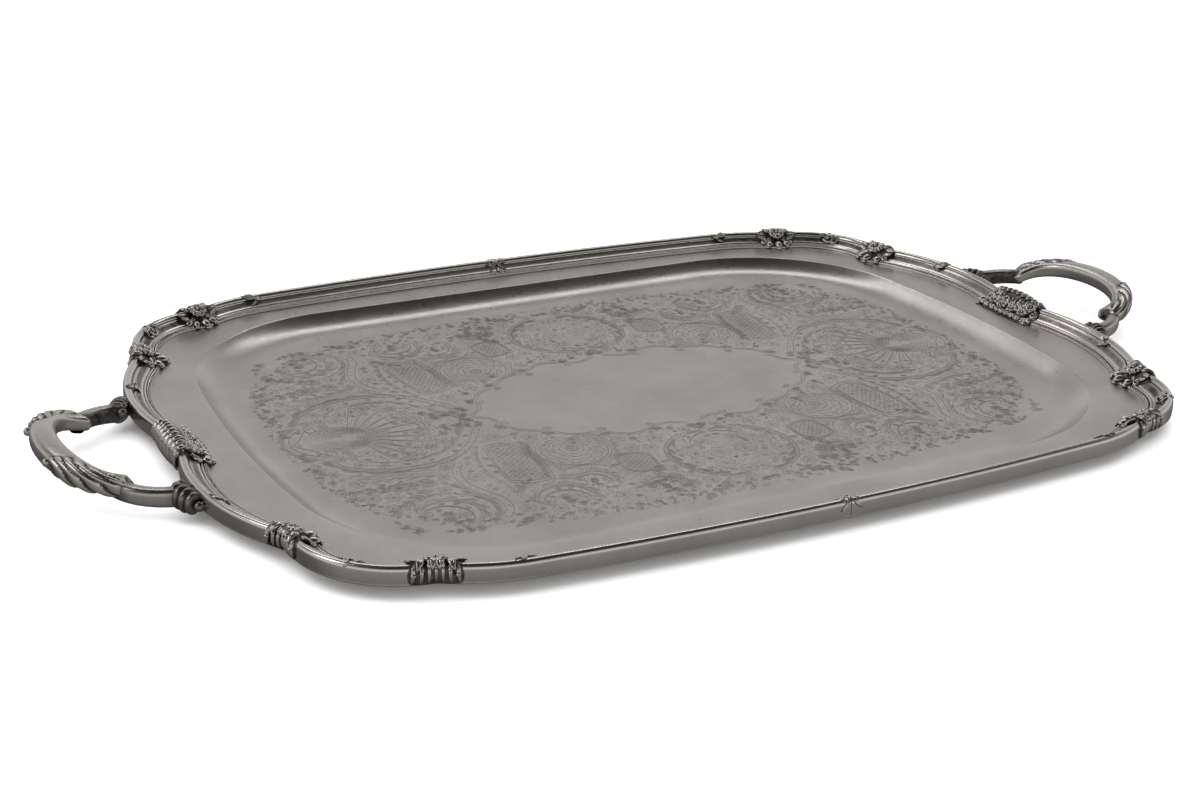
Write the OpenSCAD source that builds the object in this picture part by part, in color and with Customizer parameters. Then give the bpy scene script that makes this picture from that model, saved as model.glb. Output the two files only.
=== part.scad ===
// Two-handled serving tray with a pressed well, a built-up border and cast ornament.
// Millimetres, +Z up. The origin is under the middle of the tray, on the surface it stands on.

/* [Outline] */
// Half length of the border's crest line, at the middle of the ends
end_x = 261.5; // [255:0.5:275]
// Half width of the crest line, at the middle of the long sides
side_y = 196; // [188:1:206]
// Radius of the slow bow along each long side
side_bow_r = 2000; // [1500:50:4000]
// Where the slow bow gives way to the shoulder, along the long side
shoulder_x = 158; // [150:1:164]
// Radius of the shoulder
shoulder_r = 90; // [80:1:110]
// Inward cusp at the end of the shoulder, along the long side
long_cusp_x = 199; // [190:1:204]
// Inward cusp between the corner lobe and the end lobe
short_cusp = [244.5, 122]; // [100:1:260]
// How far the small corner lobe swells out of its chord
corner_swell = 15; // [10:1:18]
// How far the long end lobe swells out of its chord
end_swell = 12.7; // [6:0.1:16]
// Half length of the straight pinch under each end mount
pinch_y = 14; // [10:1:20]

/* [Well] */
// Half length of the well at the flange
well_a = 230.5; // [220:0.5:236]
// Half width of the well at the flange
well_b = 165.5; // [158:0.5:170]
// Corner radius of the well at the flange
well_corner_r = 98; // [80:1:110]
// Radius of the well's bowed ends
well_end_r = 700; // [500:10:1200]
// Depth of the well under the flange
well_depth = 8.3; // [6:0.1:12]
// Width of the curved wall between the flange and the flat floor
wall_w = 20; // [14:1:26]
// Thickness of the sheet
sheet_t = 1.4; // [1:0.1:2]

/* [Border] */
// Height of the crest over the flange
crest_rise = 7.7; // [6:0.1:10]
// Width of the border inside its crest line
border_in = 12; // [10:0.5:14]
// Depth of the border's lip below the top of the flange
lip_drop = 1.5; // [1.5:0.1:2.5]

/* [Ornament] */
// Length of a corner clasp along the border
clasp_len = 27; // [22:1:32]
// Length of an end mount along the border
mount_len = 42; // [36:1:56]
// Length of the crossed-leaf cover on each long side's joint
joint_leaf_len = 17; // [12:1:22]
// Length of a small leaf sprig
sprig_len = 12; // [9:1:16]
// Distance of the long-side sprigs from the middle of the side
side_sprig_x = 163; // [150:1:180]
// Distance of the end sprigs from the middle of the end
end_sprig_y = 78; // [66:1:92]

/* [Handles] */
// Half distance between the two feet of a handle
foot_y = 55; // [48:1:64]
// Where a handle's feet meet the border
foot_x = 270.7; // [266:0.1:280]
// Outermost reach of a handle, without its balls
handle_x = 328; // [320:1:345]
// Height of the middle of a handle over the border's crest
handle_rise = 6; // [0:0.5:14]
// Radius of the balls on a handle's leaf tips
ball_r = 2.2; // [1.5:0.1:3]

/* [Hidden] */

flange_z = sheet_t + well_depth;
crest_z = flange_z + crest_rise;
lip_z = -crest_rise - lip_drop;
edge_in = 0.5;           // the flange stops this far inside the crest line
side_steps = 9;
shoulder_steps = 6;
lobe_steps = 8;
end_steps = 9;
wall_steps = 6;

// ---------- curves ----------
// A station is [point, offset direction]; stations along an arc point away from its centre.
function arc(centre, r, from, to, n) =
    [for (i = [0 : n]) let (a = from + (to - from) * i / n)
        [centre + r * [cos(a), sin(a)], [cos(a), sin(a)]]];
function bearing(v) = atan2(v[1], v[0]);
function swell_r(p, q, s) = (pow(norm(q - p) / 2, 2) + s * s) / (2 * s);
function swell_centre(p, q, s) =
    let (t = (q - p) / norm(q - p)) (p + q) / 2 + [-t[1], t[0]] * (s - swell_r(p, q, s));
function lobe(p, q, s, n) =
    let (c = swell_centre(p, q, s))
        arc(c, swell_r(p, q, s), bearing(p - c), bearing(q - c), n);
function mitre(m, n) = (m + n) / (1 + m * n);
function inner(list) = [for (i = [1 : len(list) - 2]) list[i]];
function last(list) = list[len(list) - 1];

side_centre = [0, side_y - side_bow_r];
shoulder_turn = 90 - asin(shoulder_x / side_bow_r);
shoulder_centre = side_centre + (side_bow_r - shoulder_r) * [cos(shoulder_turn), sin(shoulder_turn)];
cusp_turn = acos((long_cusp_x - shoulder_centre[0]) / shoulder_r);
side_arc = arc(side_centre, side_bow_r, 90, shoulder_turn, side_steps);
shoulder_arc = arc(shoulder_centre, shoulder_r, shoulder_turn, cusp_turn, shoulder_steps);
long_cusp = last(shoulder_arc)[0];
pinch = [end_x, pinch_y];
corner_arc = lobe(long_cusp, short_cusp, corner_swell, lobe_steps);
end_arc = lobe(short_cusp, pinch, end_swell, end_steps);

// The crest line of one quarter, from the middle of a long side to the middle of an end.
quarter = concat(
    side_arc, inner(shoulder_arc),
    [[long_cusp, mitre(last(shoulder_arc)[1], corner_arc[0][1])]], inner(corner_arc),
    [[short_cusp, mitre(last(corner_arc)[1], end_arc[0][1])]], inner(end_arc),
    [[pinch, mitre(last(end_arc)[1], [1, 0])], [[end_x, 0], [1, 0]]]);

// Four quarters joined into one ring of points, starting at the middle of the right end.
function ring(q) =
    let (n = len(q)) concat(
        [for (i = [n - 1 : -1 : 0]) [q[i][0], q[i][1]]],
        [for (i = [1 : n - 1]) [-q[i][0], q[i][1]]],
        [for (i = [n - 2 : -1 : 0]) [-q[i][0], -q[i][1]]],
        [for (i = [1 : n - 2]) [q[i][0], -q[i][1]]]);

// The well's outline is met by rays from the middle: side line, corner arc, then end arc.
corner_c = [well_a - well_end_r + sqrt(pow(well_end_r - well_corner_r, 2)
    - pow(well_b - well_corner_r, 2)), well_b - well_corner_r];
end_c = [well_a - well_end_r, 0];
function ray_circle(c, r, u) = u * c + sqrt(pow(u * c, 2) - c * c + r * r);
function well_reach(u, inset) =
    let (b = well_b - inset, re = well_end_r - inset,
         turn = end_c + re * (corner_c - end_c) / norm(corner_c - end_c))
        bearing(u) > bearing([corner_c[0], b]) ? b / u[1]
        : bearing(u) > bearing(turn) ? ray_circle(corner_c, well_corner_r - inset, u)
        : ray_circle(end_c, re, u);
function well_quarter(inset) =
    [for (s = quarter) let (u = s[0] / norm(s[0])) u * well_reach(u, inset)];
function level(points, z) = [for (p = points) [p[0], p[1], z]];

// ---------- solids ----------
// Skins a list of rings with equal counts and closes both ends.
module loft(rings) {
    n = len(rings[0]);
    m = len(rings);
    polyhedron(
        points = [for (r = rings) each r],
        faces = concat(
            [[for (j = [0 : n - 1]) j]],
            [for (i = [0 : m - 2]) for (j = [0 : n - 1]) let (k = (j + 1) % n)
                [i * n + j, (i + 1) * n + j, (i + 1) * n + k, i * n + k]],
            [[for (j = [n - 1 : -1 : 0]) (m - 1) * n + j]]),
        convexity = 8);
}

// Fall of the curved wall, 0 at the flange to 1 at the floor, over its width.
function wall_fall(t) = 1 - pow(1 - t, 2.6);

module tray_body() color("silver") {
    outer = ring([for (s = quarter) s[0] - edge_in * s[1]]);
    under = concat(
        [for (i = [wall_steps : -1 : 0]) let (t = i / wall_steps)
            level(ring(well_quarter(wall_w * t + sheet_t)), flange_z - sheet_t - well_depth * wall_fall(t))],
        [level(outer, flange_z - sheet_t)]);
    top = concat(
        [level(outer, flange_z)],
        [for (i = [0 : wall_steps]) let (t = i / wall_steps)
            level(ring(well_quarter(wall_w * t)), flange_z - well_depth * wall_fall(t))]);
    loft(concat(under, top));
}

// Border section as [out from the crest line, up from the crest], from where it meets the sheet's edge.
border_section = [
    [-edge_in, -crest_rise], [-edge_in, lip_z], [1.7, lip_z], [2.1, -7.5], [2.3, -5], [2, -2.4],
    [1.2, -0.6], [0, 0], [-1.2, -0.2], [-2.6, -1.3], [-5, -4], [-7.6, -5.6], [-9.4, -5.9],
    [-11, -5.9], [-border_in, 1.1 - crest_rise], [-border_in, -crest_rise]];
function on_station(s, p) =
    let (q = s[0] + p[0] * s[1]) [q[0], q[1], crest_z + p[1]];

module border_quarter()
    loft([for (s = quarter) [for (p = border_section) on_station(s, p)]]);

// Copies a quarter into one of the four corners; right and back are 1 or -1.
module corner(right, back)
    mirror([right < 0 ? 1 : 0, 0, 0]) mirror([0, back < 0 ? 1 : 0, 0]) children();

module border(right, back) color("gainsboro") corner(right, back) border_quarter();

// ---------- ornament that saddles the border ----------
// What a casting's inside follows: the border's upper side, in as few points as it needs.
seat_section = [[-border_in, 0.05 - crest_rise], [-border_in, -6.4], [-7.6, -5.5], [-2.6, -1.2],
    [0, 0.1], [2.1, -2.4], [2.4, -5], [1.9, lip_z]];

// Outside of a casting at a point along it: rise lifts it all, nubs push its foot inwards.
function cover_section(t, rise, nubs, reach) =
    let (e = 1 - 0.85 * pow(abs(t), 4), swell = rise * e,
         nub = reach * pow(abs(cos(90 * nubs * t)), 3) * e)
    [[-border_in - 0.3 - nub, 0.05 - crest_rise], [-border_in - 0.3 - nub * 0.8, -6.2 + nub / 3],
     [-7.8, -4.8 + swell], [-3.2, -0.7 + swell], [-0.2, 0.4 + swell], [2.5 + swell * 0.5, -2.1],
     [2.7 + swell * 0.5, -5.2], [2.2 + swell * 0.4, lip_z]];

// Skins [station, place along from -1 to 1] pairs into one closed casting.
module casting(stops, rise, nubs, reach) {
    m = len(seat_section);
    n = 2 * m;
    last_ring = (len(stops) - 1) * n;
    polyhedron(
        points = [for (s = stops) each concat(
            [for (p = cover_section(s[1], rise, nubs, reach)) on_station(s[0], p)],
            [for (j = [m - 1 : -1 : 0]) on_station(s[0], seat_section[j])])],
        faces = concat(
            [for (j = [0 : m - 2]) [n - 1 - j, n - 2 - j, j + 1, j]],
            [for (i = [0 : len(stops) - 2]) for (j = [0 : n - 1]) let (k = (j + 1) % n)
                each [[i * n + j, i * n + k, (i + 1) * n + k], [i * n + j, (i + 1) * n + k, (i + 1) * n + j]]],
            [for (j = [0 : m - 2])
                [last_ring + j, last_ring + j + 1, last_ring + n - 2 - j, last_ring + n - 1 - j]]),
        convexity = 6);
}

// Station some way along an arc from one of its bearings, towards the ends of the tray.
function along(centre, r, a, x) =
    let (b = a - x * 180 / (PI * r)) [centre + r * [cos(b), sin(b)], [cos(b), sin(b)]];
function mix(m, n, t) = m + (n - m) * min(1, t);
function steps(n) = [for (i = [0 : n]) 2 * i / n - 1];
function sprig_stops(centre, r, a) =
    [for (t = steps(6)) [along(centre, r, a, t * sprig_len / 2), t]];

// Stops that turn a cusp, easing from each arc's own bearing into the mitre.
function cusp_stops(cusp, c1, r1, a1, c2, r2, a2) =
    let (m = mitre([cos(a1), sin(a1)], [cos(a2), sin(a2)]))
    [for (t = steps(14)) let (x = t * clasp_len / 2,
        s = x < 0 ? along(c1, r1, a1, x) : along(c2, r2, a2, x))
        [x == 0 ? [cusp, m] : [s[0], mix(m, s[1], abs(x) / 6)], t]];

corner_r = swell_r(long_cusp, short_cusp, corner_swell);
corner_mid = swell_centre(long_cusp, short_cusp, corner_swell);
end_r = swell_r(short_cusp, pinch, end_swell);
end_mid = swell_centre(short_cusp, pinch, end_swell);

module clasp_side(right, back) color("lightgray") corner(right, back)
    casting(cusp_stops(long_cusp, shoulder_centre, shoulder_r, cusp_turn,
        corner_mid, corner_r, bearing(long_cusp - corner_mid)), 1.5, 4, 3);

module clasp_end(right, back) color("lightgray") corner(right, back)
    casting(cusp_stops(short_cusp, corner_mid, corner_r, bearing(short_cusp - corner_mid),
        end_mid, end_r, bearing(short_cusp - end_mid)), 1.5, 4, 3);

module side_sprig(right, back) color("lightgray") corner(right, back)
    casting(sprig_stops(shoulder_centre, shoulder_r,
        acos((side_sprig_x - shoulder_centre[0]) / shoulder_r)), 0.8, 0, 0);

module corner_scroll(right, back) color("lightgray") corner(right, back)
    casting(sprig_stops(corner_mid, corner_r,
        bearing((long_cusp + short_cusp) / 2 - corner_mid)), 0.9, 0, 0);

module end_sprig(right, back) color("lightgray") corner(right, back)
    casting(sprig_stops(end_mid, end_r, asin((end_sprig_y - end_mid[1]) / end_r)), 0.8, 0, 0);

// Half of the end mount's stops, from its middle to where it ends on the end lobe.
mount_half = [for (t = [0 : 12]) let (x = t * mount_len / 24)
    [x <= pinch_y ? [[end_x, x], [1, 0]]
        : let (s = along(end_mid, end_r, bearing(pinch - end_mid), pinch_y - x))
            [s[0], mix([1, 0], s[1], (x - pinch_y) / 4)], t / 12]];

module end_mount(right) color("lightgray")
    mirror([right < 0 ? 1 : 0, 0, 0])
        casting(concat([for (i = [12 : -1 : 1]) mount_half[i]],
            [for (s = mount_half) [[[s[0][0][0], -s[0][0][1]], [s[0][1][0], -s[0][1][1]]], -s[1]]]),
            2.2, 6, 5);

module joint_leaf(back) color("lightgray")
    mirror([0, back < 0 ? 1 : 0, 0])
        casting([for (t = steps(8))
            [along(side_centre, side_bow_r, 90, t * joint_leaf_len / 2), t]], 0.5, 0, 0);

// ---------- handles ----------
socket_len = 8;
arm_from = [foot_x + socket_len, foot_y];
foot_drop = 6;           // the feet are centred this far under the crest
leaf_tip_y = 20;         // the leaf on each half of a grip starts here, at a ball
arm_bend = [292, foot_y - 0.5];
arm_to = [297, 43.5];
bow_c = [291, 0];
bow_rx = handle_x - 6 - bow_c[0];
bow_ry = 42;

// Rounded section, flatter on top: [across, up] at an angle.
function bar_point(w, h, a) =
    [w / 2 * sign(cos(a)) * pow(abs(cos(a)), 0.75), h / 2 * sign(sin(a)) * pow(abs(sin(a)), 0.75)];

// One ring of a bar at a point, square to a direction in plan.
function bar_ring(p, dir, w, h) =
    let (side = [-dir[1], dir[0]] / norm(dir))
        [for (k = [0 : 15]) let (q = bar_point(w, h, 22.5 * k))
            [p[0] + q[0] * side[0], p[1] + q[0] * side[1], p[2] + q[1]]];

// Grip: a bow from cusp to cusp, thickest along its middle.
function bow(a) = [bow_c[0] + bow_rx * pow(abs(cos(a)), 0.72), bow_ry * sin(a),
    crest_z - 3.5 + (handle_rise + 3.5) * pow(abs(cos(a)), 0.8)];
function bow_dir(a) = bow(a + 0.5) - bow(a - 0.5);
module grip()
    loft([for (i = [-12 : 12]) let (a = 7.25 * i)
        bar_ring(bow(a), bow_dir(a), 9 + 3 * cos(a), 8 + 2.5 * cos(a))]);

// Arm: one bend from a socket to a cusp of the grip.
function arm_point(t) =
    pow(1 - t, 2) * arm_from + 2 * t * (1 - t) * arm_bend + t * t * arm_to;
function arm_dir(t) = (1 - t) * (arm_bend - arm_from) + t * (arm_to - arm_bend);
module arm()
    loft([for (i = [0 : 8]) let (t = i / 8, p = arm_point(t))
        bar_ring([p[0], p[1], crest_z - foot_drop + 2.5 * t], arm_dir(t), 8.5, 8 - t)]);

module handle(right) color("lightgray")
    mirror([right < 0 ? 1 : 0, 0, 0]) {
        grip();
        arm();
        mirror([0, 1, 0]) arm();
        for (y = [-leaf_tip_y, leaf_tip_y])
            translate([handle_x - 1.8, y, crest_z + handle_rise + 0.2]) sphere(r = ball_r, $fn = 24);
    }

// Ringed casting between an arm and the border, turned about the line of the arm.
module handle_socket(right, back) color("dimgray")
    corner(right, back) translate([foot_x, foot_y, crest_z - foot_drop]) rotate([0, 90, 0])
        rotate_extrude($fn = 48) polygon([[0, -0.6], [3.6, -0.6], [4.4, 0.4], [3.6, 1.4], [4.8, 2.6],
            [4.8, 3.6], [3.8, 4.6], [4.8, 5.6], [4.6, 6.6], [3.9, 7.4],
            [3.9, socket_len], [0, socket_len]]);

tray_body();
border(-1, -1);  // border_front_left
border(1, -1);  // border_front_right
border(-1, 1);  // border_back_left
border(1, 1);  // border_back_right
clasp_side(-1, -1);  // clasp_front_left_side
clasp_end(-1, -1);  // clasp_front_left_end
clasp_side(1, -1);  // clasp_front_right_side
clasp_end(1, -1);  // clasp_front_right_end
clasp_side(-1, 1);  // clasp_back_left_side
clasp_end(-1, 1);  // clasp_back_left_end
clasp_side(1, 1);  // clasp_back_right_side
clasp_end(1, 1);  // clasp_back_right_end
end_mount(-1);  // end_mount_left
end_mount(1);  // end_mount_right
joint_leaf(-1);  // joint_leaf_front
joint_leaf(1);  // joint_leaf_back
side_sprig(-1, -1);  // side_sprig_front_left
side_sprig(1, -1);  // side_sprig_front_right
side_sprig(-1, 1);  // side_sprig_back_left
side_sprig(1, 1);  // side_sprig_back_right
corner_scroll(-1, -1);  // corner_scroll_front_left
corner_scroll(1, -1);  // corner_scroll_front_right
corner_scroll(-1, 1);  // corner_scroll_back_left
corner_scroll(1, 1);  // corner_scroll_back_right
end_sprig(-1, -1);  // end_sprig_front_left
end_sprig(1, -1);  // end_sprig_front_right
end_sprig(-1, 1);  // end_sprig_back_left
end_sprig(1, 1);  // end_sprig_back_right
handle(-1);  // handle_left
handle(1);  // handle_right
handle_socket(-1, -1);  // handle_socket_front_left
handle_socket(1, -1);  // handle_socket_front_right
handle_socket(-1, 1);  // handle_socket_back_left
handle_socket(1, 1);  // handle_socket_back_right
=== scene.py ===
"""A two-handled serving tray: pressed well, beaded border, cast ornament, engraved floor."""
import math

import bpy
import numpy as np
from mathutils import Matrix, Vector
from numpy.linalg import norm


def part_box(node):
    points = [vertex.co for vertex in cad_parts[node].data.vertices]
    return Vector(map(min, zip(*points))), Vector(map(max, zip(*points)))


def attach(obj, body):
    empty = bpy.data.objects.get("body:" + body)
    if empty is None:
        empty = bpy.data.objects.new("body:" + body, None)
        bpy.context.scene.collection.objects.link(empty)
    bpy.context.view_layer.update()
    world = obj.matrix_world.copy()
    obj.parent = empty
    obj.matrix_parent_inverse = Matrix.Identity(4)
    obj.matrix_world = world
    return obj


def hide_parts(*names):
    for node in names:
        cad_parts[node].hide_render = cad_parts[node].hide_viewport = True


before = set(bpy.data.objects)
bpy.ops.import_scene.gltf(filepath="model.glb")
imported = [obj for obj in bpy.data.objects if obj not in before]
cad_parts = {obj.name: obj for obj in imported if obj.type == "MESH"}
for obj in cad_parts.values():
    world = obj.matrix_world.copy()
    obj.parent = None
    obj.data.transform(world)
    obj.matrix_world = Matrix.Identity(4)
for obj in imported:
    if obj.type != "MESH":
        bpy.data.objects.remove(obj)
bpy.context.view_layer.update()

# ---------- driving dimensions, in millimetres ----------
MM = 0.001
STATION_GAP = 1.5          # spacing of the sections along the border
CREST_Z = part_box("border_front_left")[1].z / MM
FLANGE_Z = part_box("tray_body")[1].z / MM
SHEET_T = 1.4
WELL_DEPTH = FLANGE_Z - SHEET_T
SIDE_Y, SIDE_BOW_R = 196.0, 2000.0
SHOULDER_X, SHOULDER_R = 158.0, 90.0
CUSP_X, END_CUSP = 199.0, (244.5, 122.0)
CORNER_SWELL, END_SWELL = 15.0, 12.7
END_X, PINCH_Y = 261.5, 14.0
MITRE_EASE = 6.0           # a cusp's mitre eases into the arcs beside it over this length
WELL_A, WELL_B = 230.5, 165.5
WELL_CORNER_R, WELL_END_R = 98.0, 700.0
WALL_W, WALL_POWER = 20.0, 2.6
BORDER_IN = 12.0
BEAD_PITCH, BEAD_U, BEAD_Z = 1.6, -10.55, -6.85        # out and up from the crest line
BEAD_HALF = (0.74, 0.95, 1.0)                          # half a bead along, across and up
BUTT_GAP, BUTT_EASE, BUTT_SHRINK = 0.08, 0.3, 0.93     # how a length's end is eased where two butt
SPRIG_X, END_SPRIG_Y = 163, 77
SOCKET_X, SOCKET_Y = 270.7, 55.0
HANDLE_X = 328.0
BALL_R, LEAF_TIP_Y = 2.2, 20.0
CORNERS = {"front_left": (-1, -1), "front_right": (1, -1), "back_left": (-1, 1), "back_right": (1, 1)}
ENDS = {"left": (-1, 1), "right": (1, 1)}
SIDES = {"front": (1, -1), "back": (1, 1)}


def fan(start, end, n):
    """Angles in radians between two in degrees."""
    return np.radians(np.linspace(start, end, n))


def distances(p):
    """How far along a run of points, as rows or complex numbers, each of them is."""
    steps = np.diff(p, axis=0)
    steps = np.abs(steps) if p.ndim == 1 else norm(steps, axis=1)
    return np.concatenate([[0], np.cumsum(steps)])


def follow(s, run, line):
    """Points of a complex line at distances s along it."""
    return np.interp(s, run, line.real) + 1j * np.interp(s, run, line.imag)


def curve(p, bend, q, t):
    """A quadratic curve from p to q."""
    return (1 - t) ** 2 * p + 2 * t * (1 - t) * bend + t * t * q


def quadratic(p, bend, q, n):
    return curve(np.array(p), np.array(bend), np.array(q), np.linspace(0, 1, n)[:, None])


# ---------- the crest line ----------
def bearing(v):
    return math.degrees(math.atan2(v[1], v[0]))


def arc(centre, r, start, end, gap=STATION_GAP):
    """Points along an arc and the direction away from its centre at each."""
    n = max(2, round(abs(math.radians(end - start)) * r / gap))
    a = fan(start, end, n + 1)
    out = np.stack([np.cos(a), np.sin(a)], 1)
    return np.array(centre) + r * out, out


def lobe(p, q, swell):
    """An arc from p to q that stands swell out of its chord."""
    p, q = np.array(p), np.array(q)
    half = norm(q - p) / 2
    r = (half ** 2 + swell ** 2) / (2 * swell)
    t = (q - p) / (2 * half)
    centre = (p + q) / 2 + np.array([-t[1], t[0]]) * (swell - r)
    return arc(centre, r, bearing(p - centre), bearing(q - centre))


def crest_quarter():
    """The crest line of one quarter, from the middle of the back side to the middle of the right end."""
    side_c = np.array([0, SIDE_Y - SIDE_BOW_R])
    turn = 90 - math.degrees(math.asin(SHOULDER_X / SIDE_BOW_R))
    away = np.array([math.cos(math.radians(turn)), math.sin(math.radians(turn))])
    shoulder_c = side_c + (SIDE_BOW_R - SHOULDER_R) * away
    cusp_turn = math.degrees(math.acos((CUSP_X - shoulder_c[0]) / SHOULDER_R))
    side, shoulder = arc(side_c, SIDE_BOW_R, 90, turn), arc(shoulder_c, SHOULDER_R, turn, cusp_turn)
    points = np.concatenate([side[0], shoulder[0][1:]])
    out = np.concatenate([side[1], shoulder[1][1:]])
    y = np.linspace(PINCH_Y, 0, 10)
    pinch = np.stack([np.full(10, END_X), y], 1), np.tile([1.0, 0.0], (10, 1))
    runs = [lobe(points[-1], END_CUSP, CORNER_SWELL), lobe(END_CUSP, (END_X, PINCH_Y), END_SWELL), pinch]
    for p, d in runs:
        mitre = (out[-1] + d[0]) / (1 + out[-1] @ d[0])
        before = np.clip(norm(points - p[0], axis=1) / MITRE_EASE, 0, 1)[:, None]
        after = np.clip(norm(p - p[0], axis=1) / MITRE_EASE, 0, 1)[:, None]
        out = np.concatenate([mitre + (out - mitre) * before, (mitre + (d - mitre) * after)[1:]])
        points = np.concatenate([points, p[1:]])
    return points, out


CREST, CREST_OUT = crest_quarter()
RUN = distances(CREST)
QUARTER_LEN = RUN[-1]
REACH = 30                 # stations borrowed from the neighbouring quarters


def extended(q):
    """A quarter's rows with a few more from its mirror images at both ends."""
    return np.concatenate([q[REACH:0:-1] * [-1, 1], q, q[-2:-REACH - 2:-1] * [1, -1]])


LONG, LONG_OUT = extended(CREST), extended(CREST_OUT)
LONG_RUN = np.concatenate([-RUN[REACH:0:-1], RUN, 2 * QUARTER_LEN - RUN[-2:-REACH - 2:-1]])


def station(s):
    """Crest point and outward direction at a distance along the quarter."""
    p = np.stack([np.interp(s, LONG_RUN, LONG[:, k]) for k in (0, 1)], -1)
    d = np.stack([np.interp(s, LONG_RUN, LONG_OUT[:, k]) for k in (0, 1)], -1)
    return p, d


# ---------- meshes ----------
class Pile:
    """Skins gathered into one mesh. Each vertex also carries how hollow the surface is there, raised on a few
    faces as painted shade.
    """

    def __init__(self):
        self.points, self.quads, self.hollow, self.count = [], [], [], 0

    def skin(self, grid, wrap=False, flip=False, hollow=None, fine=0.12, broad=0.5):
        """A grid of points as quads. Its hollows are measured from how far neighbours stand proud."""
        rows, cols = grid.shape[:2]
        if hollow is None:
            hollow = hollowness(grid, wrap, flip, fine, broad)
        index = np.arange(rows * cols).reshape(rows, cols) + self.count
        nxt = np.roll(index, -1, 1) if wrap else index[:, 1:]
        here = index if wrap else index[:, :-1]
        quads = np.stack([here[:-1], here[1:], nxt[1:], nxt[:-1]], -1).reshape(-1, 4)
        self.quads.append(quads[:, ::-1] if flip else quads)
        self.points.append(grid.reshape(-1, 3))
        self.hollow.append(np.broadcast_to(hollow, (rows, cols)).reshape(-1))
        self.count += rows * cols


def normals_of(grid, wrap=False):
    """Unit normals of a grid, on the side of rows cross columns."""
    along = np.gradient(grid, axis=0)
    across = (np.roll(grid, -1, 1) - np.roll(grid, 1, 1)) if wrap else np.gradient(grid, axis=1)
    n = np.cross(along, across)
    return n / np.maximum(norm(n, axis=2, keepdims=True), 1e-9)


def hollowness(grid, wrap, flip, fine, broad):
    """About 1 deep in a groove, 0 on the flat and -1 on a sharp ridge."""
    n = normals_of(grid, wrap) * (-1 if flip else 1)
    total = np.zeros(grid.shape[:2])
    for k, depth in ((1, fine), (3, broad)):
        rows, cols = grid.shape[:2]
        i, j = np.arange(rows), np.arange(cols)
        up, down = np.clip(i - k, 0, rows - 1), np.clip(i + k, 0, rows - 1)
        left = (j - k) % cols if wrap else np.clip(j - k, 0, cols - 1)
        right = (j + k) % cols if wrap else np.clip(j + k, 0, cols - 1)
        mean = (grid[up] + grid[down] + grid[:, left] + grid[:, right]) / 4
        total += np.sum((mean - grid) * n, 2) / depth
    return np.clip(total, -1, 1)


def placed(name, data):
    made = bpy.data.objects.new(name, data)
    bpy.context.scene.collection.objects.link(made)
    return made


def piece(name, pile, finish, nodes=(), mirror=(1, 1)):
    """A named object from a pile, in metres, standing for the CAD nodes it replaces."""
    points = np.concatenate(pile.points) * [mirror[0], mirror[1], 1] * MM
    quads = np.concatenate(pile.quads)
    if mirror[0] * mirror[1] < 0:
        quads = quads[:, ::-1]
    mesh = bpy.data.meshes.new(name)
    mesh.vertices.add(len(points))
    mesh.vertices.foreach_set("co", points.astype(np.float32).ravel())
    mesh.loops.add(quads.size)
    mesh.loops.foreach_set("vertex_index", quads.astype(np.int32).ravel())
    mesh.polygons.add(len(quads))
    mesh.polygons.foreach_set("loop_start", np.arange(0, quads.size, 4, dtype=np.int32))
    mesh.polygons.foreach_set("use_smooth", np.ones(len(quads), bool))
    mesh.update(calc_edges=True)
    mesh.validate()
    hollow = mesh.attributes.new("hollow", "FLOAT", "POINT")
    hollow.data.foreach_set("value", np.concatenate(pile.hollow).astype(np.float32))
    mesh.materials.append(finish)
    made = placed(name, mesh)
    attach(made, "root")
    if nodes:
        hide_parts(*nodes)


def mirrored(pattern, pile, places, finish):
    """A pile as a piece at each of its places, standing for the node there."""
    for place, sign in places.items():
        node = pattern.format(place)
        piece(node + "_cast", pile, finish, [node], sign)


# ---------- materials ----------
class Shader:
    """Short calls that add nodes to a material or to the world."""

    def __init__(self, owner, surface="Principled BSDF"):
        owner.use_nodes = True
        self.nodes, self.links = owner.node_tree.nodes, owner.node_tree.links
        self.surface = self.nodes[surface]

    def put(self, node, key, value):
        """Link or set an input, found by its name or, as i0, i1 and so on, by its number."""
        socket = node.inputs[int(key[1:]) if key[0] == "i" else key]
        if isinstance(value, bpy.types.NodeSocket):
            self.links.new(value, socket)
        else:
            socket.default_value = value

    def add(self, kind, settings=(), **inputs):
        made = self.nodes.new(kind)
        for key, value in settings:
            setattr(made, key, value)
        for key, value in inputs.items():
            self.put(made, key, value)
        return made

    def noise(self, where, scale, detail=4.0, rough=0.55):
        return self.add("ShaderNodeTexNoise", Vector=where, Scale=scale, Detail=detail,
                        Roughness=rough).outputs[0]

    def ramp(self, value, low, high, start=0.0, end=1.0):
        return self.add("ShaderNodeMapRange", Value=value, i1=low, i2=high, i3=start, i4=end).outputs[0]

    def math(self, operation, a, b):
        settings = [("operation", operation), ("use_clamp", True)]
        return self.add("ShaderNodeMath", settings, i0=a, i1=b).outputs[0]

    def mix(self, factor, a, b):
        return self.add("ShaderNodeMix", [("data_type", "RGBA")], i0=factor, i6=a, i7=b).outputs[2]


    def wipes(self, where, turn, scale, low):
        """Fine straight marks left by wiping."""
        drawn = self.add("ShaderNodeMapping", Vector=where, Rotation=(0, 0, turn), Scale=scale).outputs[0]
        return self.ramp(self.noise(drawn, 1.0, 3), low, 0.75, 0, 0.5)


def tint(tone, r=1.0, g=1.0, b=1.0):
    return (min(1, tone[0] * r), min(1, tone[1] * g), min(1, tone[2] * b), 1)


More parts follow.
